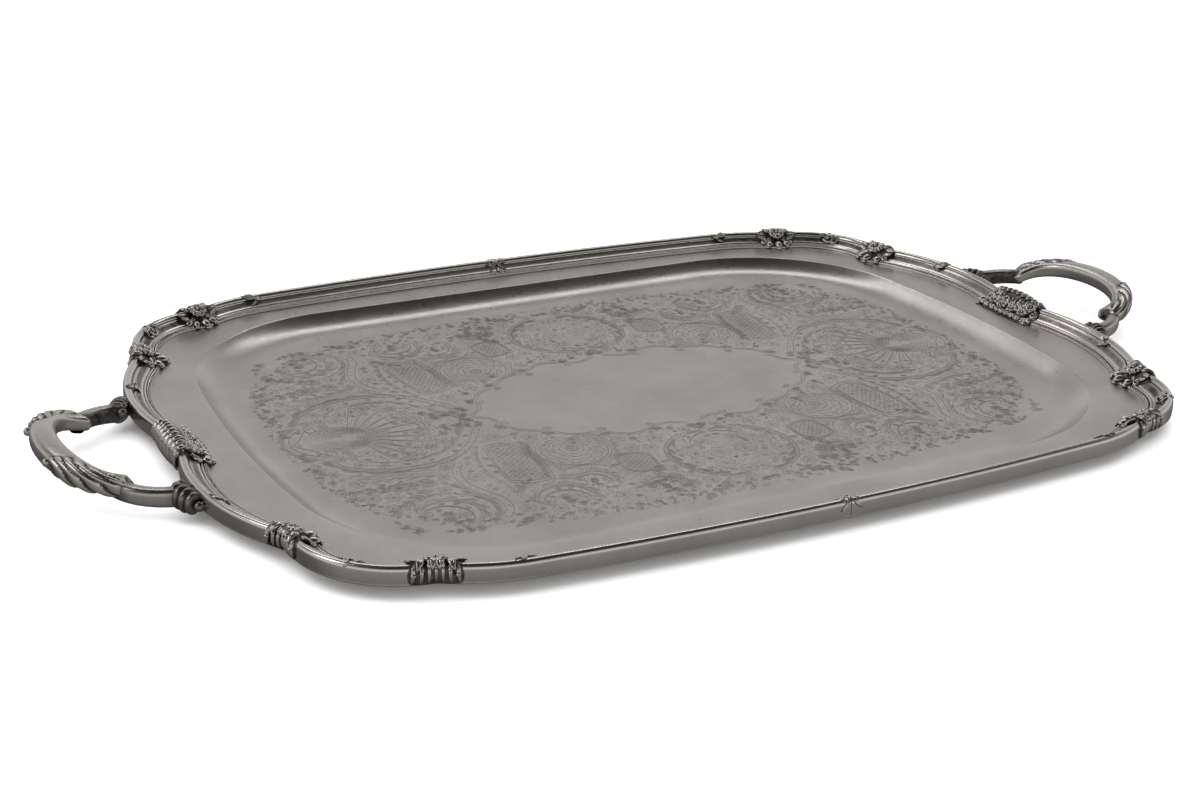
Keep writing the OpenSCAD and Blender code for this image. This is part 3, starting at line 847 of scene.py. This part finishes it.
class Casting(Pile):
    """Ornament modelled on the border's face: s along it, v across it, h off it."""

    def __init__(self, middle):
        super().__init__()
        self.middle = middle

    def lay(self, s, v, h, hollow, wrap=False):
        self.skin(on_border(self.middle + s, v, h), wrap=wrap, hollow=hollow)

    def blob(self, s, v, rs, rv, rh, h=0.0, turn=0.0, n=12):
        """A rounded boss: dark round its foot, bright on top."""
        lat, lon = fan(-12, 90, 7)[:, None], fan(0, -360, n + 1)[:-1]
        flat = (rs * np.cos(lat) * np.cos(lon) + 1j * rv * np.cos(lat) * np.sin(lon)) * turned(turn)
        tall = h + rh * np.sin(lat) + 0 * lon
        self.lay(s + flat.real, v + flat.imag, tall, 0.8 - 1.7 * np.sin(lat), wrap=True)

    def petal(self, s, v, heading, length, wide, tall, h=0.0, lift=0.0, bend=0.0):
        """A leaf with a sunk rib and turned-down edges. Heading 0 runs along the border, 90 outwards."""
        t, w = np.linspace(0, 1, 10)[:, None], np.linspace(1, -1, 9)
        step = length * t * turned(heading + bend * t)
        half = wide / 2 * np.sin(math.pi * (0.06 + 0.94 * t ** 0.75)) ** 0.7
        flat = step + 1j * half * w * turned(heading + bend * t)
        arch = np.sqrt(np.clip(1 - w ** 2, 0, 1)) - 0.45 * np.exp(-(w / 0.22) ** 2)
        height = h - 0.35 + tall * arch * np.sin(math.pi * (0.2 + 0.7 * t)) + lift * t ** 2
        shade = 0.9 - 1.7 * arch * np.sin(math.pi * (0.15 + 0.75 * t))
        self.lay(s + flat.real, v + flat.imag, height, shade)

    def petal_pairs(self, *rows):
        """Each petal, with its bend, and its mirror image along the border."""
        for s, v, heading, length, wide, tall, h, lift, bend in rows:
            self.petal(s, v, heading, length, wide, tall, h, lift, bend)
            self.petal(-s, v, 180 - heading, length, wide, tall, h, lift, -bend)

    def flower(self, s, v, r, petals=6, h=0.0, tall=1.3, turn=0.0):
        """Petals round a sunk ring with a ball in it."""
        for k in range(petals):
            a = turn + 360 / petals * k
            at = (s + 1j * v) + 0.28 * r * turned(a)
            self.petal(at.real, at.imag, a, r * 0.86, r * 5.6 / petals, tall, h, 0.4)
        self.blob(s, v, r * 0.2, r * 0.2, tall * 0.75, h)

    def volute(self, s, v, r, hand, turns=1.4, tube=0.75, h=0.2, start=0.0):
        """A rounded strip wound in to a small ball."""
        t, w = np.linspace(0, 1, 34)[:, None], fan(180, 0, 7)
        ray = turned(start + hand * 360 * turns * t)
        thick = tube * (1 - 0.45 * t)
        flat = (1 - 0.8 * t) * r * ray + hand * ray * thick * np.cos(w)
        height = h - 0.3 + 1.6 * thick * np.sin(w)
        self.lay(s + flat.real, v + flat.imag, height, 0.8 - 1.6 * np.sin(w))
        self.blob(s, v, r * 0.22, r * 0.22, tube * 1.5, h)

    def plate(self, half_len, inner, outer, lift, scallops=5, n=44, swell=0.0):
        """The dark ground that the ornament stands on, with a scalloped inner edge."""
        s, v = np.meshgrid(np.linspace(-half_len, half_len, n), np.linspace(0, 1, n), indexing="ij")
        edge = inner * (1 - 0.12 * np.abs(np.sin(math.pi * scallops * (s / half_len + 1) / 2)))
        across = edge + (outer - edge) * v
        near = np.clip(np.minimum((half_len - np.abs(s)) / 5, v * 6), 0, 1)
        rise = lift + swell * (1 - (s / half_len) ** 2) * np.clip((v - 0.15) * 2.5, 0, 1)
        self.lay(s, across, -0.6 + (rise + 0.6) * near ** 0.7, 0.95)


CUSP_RUN = RUN[np.argmin(np.abs(CREST[:, 0] - CUSP_X))]
END_CUSP_RUN = RUN[np.argmin(norm(CREST - np.array(END_CUSP), axis=1))]


def clasp(middle):
    """A rosette on the crest between ragged leaves, with flutes outside it and drops over the beads."""
    c = Casting(middle)
    c.plate(13.5, -13.0, 9.6, 0.4, swell=0.4)
    for k in range(7):
        s = (k - 3) * 3.5
        c.petal(s * 0.92, 0.9, 90 - s * 0.7, 8.7, 2.3, 2.3, 0.3, 0.1)
        c.blob(s * 0.95, 1.5 + 0.03 * s * s, 1.35, 0.9, 1.9, 0.7, -s)
    c.petal_pairs((4.4, -1.6, 32, 6.8, 3.6, 1.9, 1.0, 1.0, 15),
                  (7.2, -3.2, 24, 6.4, 3.2, 1.6, 0.5, 0.9, -25),
                  (6.4, -5.8, -14, 6.5, 3.0, 1.5, 0.4, 0.7, 30),
                  (3.4, -5.2, -60, 5.4, 2.8, 1.4, 0.5, 0.3, 0))
    for side in (-1, 1):
        c.volute(side * 8.2, -8.9, 2.5, side, 1.3, 0.8, 0.3, 90)
        c.blob(side * 4.3, -11.4, 1.8, 3.0, 2.1, 0.1, side * 14)
        c.blob(side * 4.9, -14.6, 1.2, 1.2, 1.4, 0.0)
    c.blob(0, -11.6, 1.9, 3.4, 2.4, 0.1)
    c.blob(0, -15.3, 1.2, 1.3, 1.4, 0.0)
    c.flower(0, -1.7, 4.7, 7, 1.5, 2.2, 12)
    for k in range(7):
        a = math.radians(38 + 360 / 7 * k)
        c.blob(4.2 * math.cos(a), -1.7 + 4.2 * math.sin(a), 0.8, 0.8, 1.2, 1.3)
    return c


MOUNT_HALF, MOUNT_SWELL = 21.0, 2.6


def end_mount():
    """The oval mount at the middle of an end: rosettes over flutes that swell outwards, a frill inside."""
    c = Casting(QUARTER_LEN)
    c.plate(MOUNT_HALF, -15.0, 9.8, 0.5, 7, 60, MOUNT_SWELL)
    for k in range(9):
        s = (k - 4) * 4.5
        swell = MOUNT_SWELL * (1 - (s / MOUNT_HALF) ** 2)
        c.petal(s, -0.6, 90 - s * 0.5, 11.0, 3.9, 2.3 + swell * 0.3, swell, 0.2)
        c.petal(s + 2.2, -0.2, 90 - s * 0.5, 8.0, 1.7, 1.3, swell + 0.2, 0.2)
        c.blob(s + 0.4, 0.2, 1.7, 1.3, 1.8, swell + 0.6, 30)
    c.flower(0, -3.0, 4.8, 7, 1.0, 2.2, 20)
    for side in (-1, 1):
        for s, v, r in ((8.6, -2.6, 4.2), (15.6, -3.2, 3.4), (4.6, -9.2, 4.0), (12.2, -8.6, 3.7)):
            c.flower(side * s, v, r, 6, 1.0, 2.2, side * 9 * s + 20)
        c.volute(side * 18.6, -7.4, 2.6, -side, 1.3, 0.9, 0.3, 90)
        c.blob(side * 19.4, -13.6, 1.7, 3.0, 2.1, 0.1, side * 25)
        c.blob(side * 18.2, -16.8, 1.6, 1.6, 1.8, 0.1)
    for k in range(9):
        s = (k - 4) * 4.0
        c.petal(s, -12.0, -90 + s * 1.2, 6.0 - 0.1 * abs(s), 3.4, 1.7, 0.3, 0.7)
        c.blob(s + 2.0, -13.4, 0.9, 1.2, 1.3, 0.3)
    c.petal_pairs((17.5, -0.5, 20, 6.0, 3.2, 1.5, 0.3, 0.1, 20),
                  (17.0, -11.0, -5, 6.0, 2.8, 1.4, 0.2, 0.2, 30))
    return c


def crossed_leaves():
    """Two crossed leaf stems over the border's joint."""
    c = Casting(0.0)
    c.petal_pairs((-5.5, -8.8, 38, 13.0, 2.6, 1.1, 0.2, 0.1, 22),
                  (-6.5, -4.6, 50, 8.5, 2.4, 0.9, 0.15, 0.1, 18),
                  (2.0, -9.5, -40, 5.4, 2.0, 0.9, 0.1, 0.2, 0),
                  (1.2, 0.6, 60, 7.5, 2.4, 1.0, 0.1, 0.1, -10))
    c.blob(0, -9.4, 1.2, 2.6, 1.5, 0.2)
    c.blob(0, -3.0, 1.1, 1.1, 1.3, 0.4)
    return c


def sprig(middle, hand=1):
    """A short branch of four leaves along the crest."""
    c = Casting(middle)
    for row in ((-6.0, -4.2, 24 * hand, 9.5, 2.4, 1.3, 0.3, 0.1, -25 * hand),
                (-1.0, -3.8, 8, 7.5, 2.2, 1.2, 0.3, 0.1, 25),
                (-3.0, -5.4, -30, 5.5, 2.0, 1.1, 0.2, 0.1), (-1.5, -2.2, 34, 5.5, 2.0, 1.1, 0.3, 0.1)):
        c.petal(*row)
    c.blob(-3.6, -4.6, 1.2, 1.2, 1.5, 0.3)
    return c


def corner_scroll(middle):
    """A leaf scroll with a dark eye on the corner lobe."""
    c = Casting(middle)
    c.volute(-1.2, -4.6, 3.9, 1, 1.2, 0.95, 0.2, 200)
    for row in ((1.6, -1.5, -14, 7.5, 2.6, 1.1, 0.2, 0.3, -40),
                (-4.6, -1.4, 195, 5.8, 2.6, 1.1, 0.2, 0.3, 40),
                (0.5, -7.4, -20, 6.0, 2.2, 0.9, 0.15, 0.2, 30), (-2.5, -0.2, 60, 4.0, 2.2, 0.9, 0.15, 0.2)):
        c.petal(*row)
    return c


def ornament():
    """Every cast piece, made once for a quarter, an end or a side and mirrored to its places."""
    sprig_run = RUN[np.argmin(np.abs(CREST[:, 0] - SPRIG_X) + np.abs(CREST[:, 1] - SIDE_Y) * 0.1)]
    end_run = RUN[np.argmin(np.abs(CREST[:, 1] - END_SPRIG_Y))]
    between = (CUSP_RUN + END_CUSP_RUN) / 2
    made = {"clasp_{}_side": clasp(CUSP_RUN), "clasp_{}_end": clasp(END_CUSP_RUN),
            "side_sprig_{}": sprig(sprig_run), "corner_scroll_{}": corner_scroll(between),
            "end_sprig_{}": sprig(end_run, -1)}
    for pattern, casting in made.items():
        mirrored(pattern, casting, CORNERS, CAST)
    mirrored("end_mount_{}", end_mount(), ENDS, CAST)
    mirrored("joint_leaf_{}", crossed_leaves(), SIDES, CAST)


# ---------- handles ----------
FOOT_Z = CREST_Z - 6.0                 # centre of the sockets and of the arms where they start
BOW_X, BOW_RX, BOW_RY = 291.0, HANDLE_X - 6 - 291.0, 42.0
ARM = ((SOCKET_X + 4.0, SOCKET_Y), (292.0, SOCKET_Y - 0.5), (299.0, 41.0))
BOW_FOOT, BOW_RISE = CREST_Z - 3.5, 9.5        # height of the grip's cusps, and of its middle over them
CUSP_BEND = 87.0                       # bend of the grip, in degrees, at its cusps
LEAF_FROM, LEAF_TO = 27.0, 84.0        # bend that an acanthus leaf covers
ROUND_BAR = fan(0, 360, 49)[:-1]       # angles round a bar, anticlockwise from its outer face


def bar_section(power=0.66):
    """Unit section of a bar: outward and up."""
    c, s = np.cos(ROUND_BAR), np.sin(ROUND_BAR)
    return np.sign(c) * np.abs(c) ** power, np.sign(s) * np.abs(s) ** power


def bar(path, height, wide, tall, relief=0.0):
    """Sections along a plan path that runs with its outer face on its right."""
    t = np.gradient(path)
    out = -1j * t / np.abs(t)
    across, up = bar_section()
    w = (wide[:, None] / 2 + relief) * across
    z = height[:, None] + (tall[:, None] / 2 + relief) * up
    plan = path[:, None] + out[:, None] * w
    return np.stack([plan.real, plan.imag, z], 2)


def acanthus(bend):
    """Long leaf strokes that start near the middle of a grip and sweep down its outer face to a cusp."""
    around = (ROUND_BAR + math.pi) % (2 * math.pi) - math.pi
    t = np.clip((np.abs(bend)[:, None] - LEAF_FROM) / (LEAF_TO - LEAF_FROM), 0, 1)
    off = (around[None] - 0.35) / 1.45
    phase = 4.2 * (t + 0.42 * off + 0.14 * off ** 2)
    stroke = np.abs(np.sin(math.pi * phase)) ** 0.6
    edge = np.clip(t * 4.0, 0, 1) ** 0.5 * (0.80 + 0.2 * stroke)
    mask = np.clip((edge - np.abs(off)) * 6, 0, 1) * (t > 0) * np.clip((1 - t) * 12, 0, 1)
    return 1.25 * mask * (0.15 + 0.85 * stroke), mask * (1 - stroke)


def ball(pile, at, r):
    lat, lon = fan(-88, 88, 12)[:, None], fan(0, 360, 20)[:-1]
    shape = np.stack([np.cos(lat) * np.cos(lon), np.cos(lat) * np.sin(lon), np.sin(lat) + 0 * lon], 2)
    pile.skin(np.array(at) + r * shape, wrap=True, flip=True, hollow=-0.3)


def grip(pile):
    """A crescent, broad in its middle, whose inner edge runs on as a hook at each cusp."""
    near_cusp = np.linspace(80, CUSP_BEND, 15)
    bend = np.concatenate([-near_cusp[::-1], np.linspace(-79.2, 79.2, 199), near_cusp])
    a = np.radians(bend)
    path = BOW_X + BOW_RX * np.cos(a) ** 0.72 + 1j * BOW_RY * np.sin(a)
    height = BOW_FOOT + BOW_RISE * np.cos(a) ** 0.8
    close = np.clip((CUSP_BEND - np.abs(bend)) / 2.2, 0.0, 1) ** 0.5 * 0.9 + 0.1
    wide, tall = (9.5 + 3.4 * np.cos(a)) * close, (8.2 + 2.3 * np.cos(a)) * close
    leaf, grooves = acanthus(bend)
    grid = bar(path, height, wide, tall, leaf)
    across, up = bar_section()
    reach = np.clip((np.abs(bend) - 66) / 21, 0, 1)[:, None] ** 1.6
    inner = np.clip(-across, 0, 1)[None] ** 1.5
    grid[:, :, 0] -= 3.2 * reach * inner
    grid[:, :, 1] -= np.sign(a)[:, None] * 1.2 * reach * inner
    shade = np.clip(hollowness(grid, True, False, 0.15, 0.8) + 1.3 * grooves, -1, 1)
    end = np.clip((np.abs(bend) - 82) / 4, 0, 1)[:, None]
    # Painted shade: the grip's underside gets a raised hollow value, so it takes the dark oxide tone as if shaded
    # from above.
    under = 0.25 * np.clip(-up, 0, 1)[None] ** 2
    pile.skin(grid, wrap=True, hollow=np.clip(shade + 0.6 * end + under, -1, 1))


def arm(pile, back):
    """A flat strap that bows outwards from its socket to the cusp of the grip."""
    p, q, r = (complex(x, y * back) for x, y in ARM)
    rise = np.linspace(0, 1, 30)[::-back]
    grid = bar(curve(p, q, r, rise), FOOT_Z + 2.5 * rise, 7.4 + 0.8 * rise, 9.4 - 0.8 * rise)
    inside = np.clip(-bar_section()[0], 0, 1)[None] ** 2
    ends = np.clip(np.abs(rise - 0.45) * 2.6 - 0.55, 0, 1)[:, None]
    pile.skin(grid, wrap=True, hollow=np.clip(0.5 * inside + 0.7 * ends, -1, 1))


def handle():
    pile = Pile()
    grip(pile)
    for back in (1, -1):
        arm(pile, back)
        ball(pile, (HANDLE_X - 1.8, LEAF_TIP_Y * back, CREST_Z + 6.2), BALL_R)
    return pile


def handle_socket():
    """Dark stacked lobes that lean along the border from the arm, with one ball beyond them and two at the arm."""
    pile = Pile()
    a = fan(0, 360, 41)[:-1]
    t = np.linspace(0, 1, 90)
    ring = np.abs(np.sin(math.pi * 4 * t)) ** 0.7
    closed = np.clip(np.minimum(t, 1 - t) * 14, 0.05, 1) ** 0.5
    girth = (4.1 + 1.2 * np.sin(math.pi * t) + 1.1 * ring) * closed
    middle = np.stack([5.2 - 6.2 * t ** 1.3, 14.5 * t - 3.5, 1.0 - 1.8 * t], 1)
    middle += [SOCKET_X, SOCKET_Y, FOOT_Z]
    along = np.gradient(middle, axis=0)
    along /= norm(along, axis=1, keepdims=True)
    side = np.cross(along, [0, 0, 1.0])
    side /= norm(side, axis=1, keepdims=True)
    over = np.cross(side, along)
    grid = (middle[:, None] + girth[:, None, None] * (0.86 * np.cos(a)[None, :, None] * side[:, None]
                                                      + np.sin(a)[None, :, None] * over[:, None]))
    pile.skin(grid, wrap=True, flip=True, hollow=(1.0 - 1.5 * ring)[:, None])
    for x, y, z, r in ((-1.2, 13.4, -0.6, 2.5), (3.4, -6.2, 2.0, 2.6), (2.0, -3.4, 4.6, 1.9)):
        ball(pile, (SOCKET_X + x, SOCKET_Y + y, FOOT_Z + z), r)
    return pile


# ---------- camera, lights and floor ----------
VIEW = (28.465, 21.96, 1.698)          # azimuth, elevation and roll of the camera, in degrees
AIM, AIM_DISTANCE = (-49.4, -42.1, CREST_Z), 963.2


def look_along(azimuth, elevation, roll):
    """Right, up and forward of a camera that looks down by elevation, turned azimuth from +Y to +X."""
    a, e, r = (math.radians(v) for v in (azimuth, elevation, roll))
    forward = Vector((math.sin(a) * math.cos(e), math.cos(a) * math.cos(e), -math.sin(e)))
    right = forward.cross(Vector((0, 0, 1))).normalized()
    up = right.cross(forward)
    return (right * math.cos(r) + up * math.sin(r)), (up * math.cos(r) - right * math.sin(r)), forward


def camera():
    data = bpy.data.cameras.new("camera")
    data.lens, data.sensor_width = 55.8, 36
    data.clip_start, data.clip_end = 0.01, 50
    cam = placed("camera", data)
    right, up, forward = look_along(*VIEW)
    place = (Vector(AIM) - forward * AIM_DISTANCE) * MM
    cam.matrix_world = Matrix.Translation(place) @ Matrix((right, up, -forward)).transposed().to_4x4()
    bpy.context.scene.camera = cam


def softbox(name, azimuth, elevation, distance, size, power, shines=True):
    """An area light aimed at the tray, azimuth measured from +Y towards +X."""
    data = bpy.data.lights.new(name, "AREA")
    data.shape, data.size, data.size_y, data.energy = "RECTANGLE", size[0], size[1], power
    light = placed(name, data)
    away = look_along(azimuth, -elevation, 0)[2]
    turn = away.to_track_quat("Z", "Y").to_matrix().to_4x4()
    light.matrix_world = Matrix.Translation(away * distance) @ turn
    light.visible_glossy = shines


DARK_SIDE = 0.22           # brightness of the studio's near half high up, next to its far half
LOW_SIDE = 1.00            # brightness of its near half low over the horizon
DARK_FLOOR = 0.45          # brightness of its far half under the horizon, next to its near half


SKY = [(0.0, 0.16), (0.35, 0.30), (0.49, 0.42), (0.51, 0.80), (0.62, 0.66), (0.72, 0.50),
       (0.80, 0.22), (0.92, 0.10), (1.0, 0.06)]       # brightness from straight down to straight up


def sky():
    world = bpy.data.worlds.new("studio")
    bpy.context.scene.world = world
    s = Shader(world, "Background")
    split = s.add("ShaderNodeSeparateXYZ", i0=s.add("ShaderNodeTexCoord").outputs["Generated"])
    y, z = split.outputs[1], split.outputs[2]
    ramp = s.add("ShaderNodeValToRGB", i0=s.ramp(z, -1, 1))
    elements = ramp.color_ramp.elements
    elements[0].position = 0.0
    while len(elements) < len(SKY):
        elements.new(0.5)
    for element, (place, level) in zip(elements, SKY):
        element.position = place
        element.color = (level, level * 0.99, level * 0.975, 1)
    over = s.ramp(y, -0.35, 0.15, s.ramp(z, 0.38, 0.62, LOW_SIDE, DARK_SIDE), 1.0)
    under = s.ramp(y, -0.15, 0.45, 1.0, DARK_FLOOR)
    shade = s.add("ShaderNodeMix", i0=s.ramp(z, -0.04, 0.1), i2=under, i3=over)
    s.put(s.surface, "i0", ramp.outputs[0])
    s.put(s.surface, "i1", shade.outputs[0])


def floor(half=12.0):
    mesh = bpy.data.meshes.new("paper")
    corners = [(-half, -half, 0), (half, -half, 0), (half, half, 0), (-half, half, 0)]
    mesh.from_pydata(corners, [], [(0, 1, 2, 3)])
    mesh.materials.append(plain_floor())
    paper = placed("paper", mesh)
    paper.visible_glossy = False


def studio():
    sky()
    softbox("back_box", 20, 52, 2.0, (2.2, 0.4), 6)
    softbox("left_box", -80, 40, 2.0, (0.8, 0.8), 5)
    softbox("top_wash", 0, 85, 2.2, (4.0, 4.0), 90, shines=False)
    softbox("front_wash", 205, 38, 2.2, (3.0, 3.0), 60, shines=False)
    bpy.context.scene.view_settings.view_transform = "Standard"
    floor()


tray_sheet()
border_quarters()
engraved_floor()
ornament()
mirrored("handle_{}", handle(), ENDS, GRIP)
mirrored("handle_socket_{}", handle_socket(), CORNERS, DARK)
camera()
studio()
